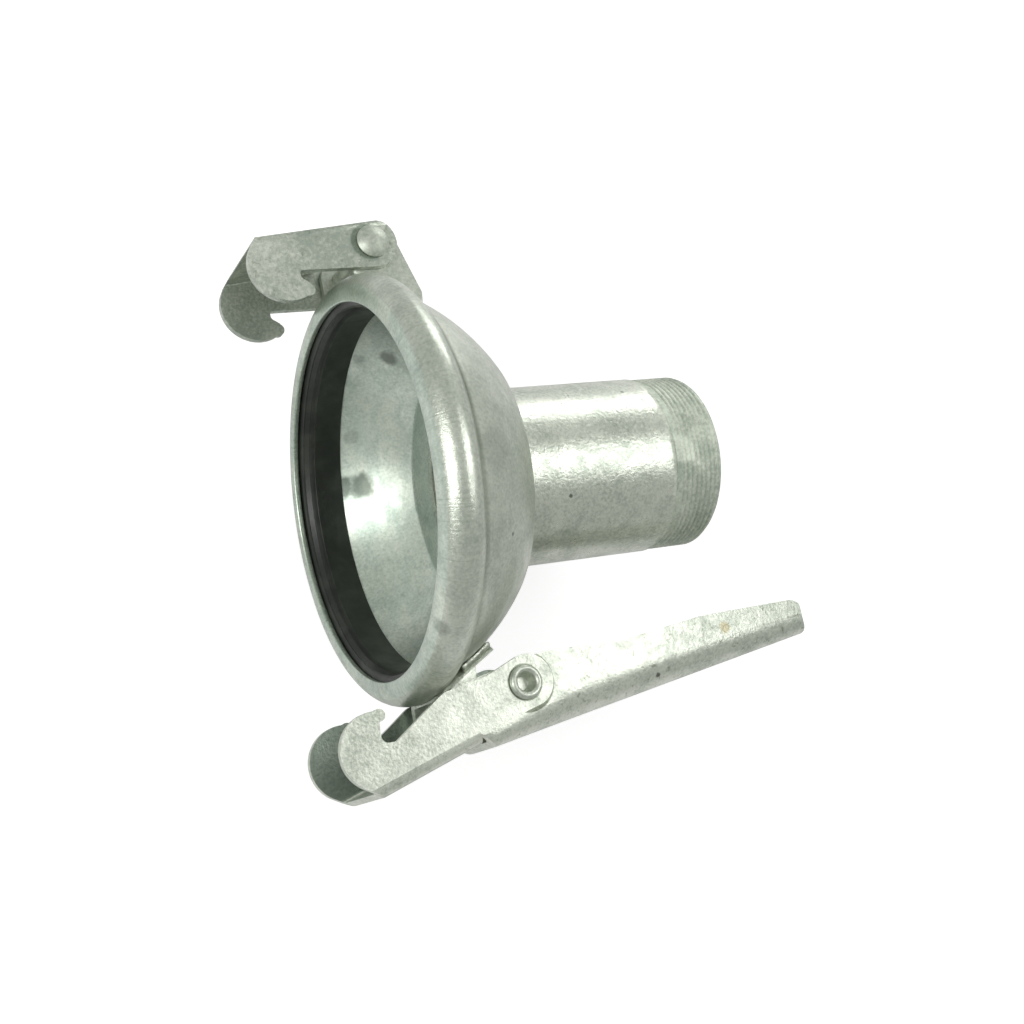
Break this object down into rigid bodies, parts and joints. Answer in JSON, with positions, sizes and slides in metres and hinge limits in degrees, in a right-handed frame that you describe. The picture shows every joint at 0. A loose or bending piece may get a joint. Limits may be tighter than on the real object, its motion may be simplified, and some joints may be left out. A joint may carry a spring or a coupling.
{
  "type": "irrigation quick coupling",
  "caption": "Socket half of a lever-type quick coupling for irrigation pipe: bowl with rubber lip seal, threaded stub, swing hook above, hand lever with hook link below.",
  "frame": {"origin": "centre of the mouth, on the pipe axis, in the plane of the bead's front", "axes": "+X along the pipe axis towards the thread, +Y from the axis to the swing hook, +Z along the hinge rivets, +X and +Y in the plane of symmetry of the lever and hook"},
  "size_m": [0.2275, 0.2308, 0.176],
  "materials": {
    "galvanised_steel": "hot-dip galvanised, mottled and speckled",
    "seal_rubber": "matt black rubber"
  },
  "bodies": {
    "coupling": {"bowl": "galvanised_steel", "seal_ring": "seal_rubber", "threaded_pipe": "galvanised_steel", "pipe_weld": "galvanised_steel", "hook_bracket": "galvanised_steel", "hook_bracket_welds": "galvanised_steel", "hook_rivet": "galvanised_steel", "lever_bracket": "galvanised_steel", "lever_bracket_welds": "galvanised_steel", "lever_pin": "galvanised_steel"},
    "swing_hook": {"swing_hook": "galvanised_steel"},
    "lever": {"lever": "galvanised_steel", "link_rivet": "galvanised_steel"},
    "link": {"link_hook": "galvanised_steel"}
  },
  "joints": [
    {"name": "hook_swing", "type": "hinge", "parent": "coupling", "child": "swing_hook", "pos_m": [0.0184, 0.099, 0], "axis": [0, 0, -1], "range_deg": [-9, 135]},
    {"name": "lever_swing", "type": "hinge", "parent": "coupling", "child": "lever", "pos_m": [0.0184, -0.0976, 0], "axis": [0, 0, -1], "range_deg": [0, 80]},
    {"name": "link_swing", "type": "hinge", "parent": "lever", "child": "link", "pos_m": [0.0465, -0.0881, 0], "axis": [0, 0, 1], "range_deg": [0, 80]}
  ],
  "couplings": [
    {"joint": "link_swing", "follows": "lever_swing", "ratio": 1}
  ]
}
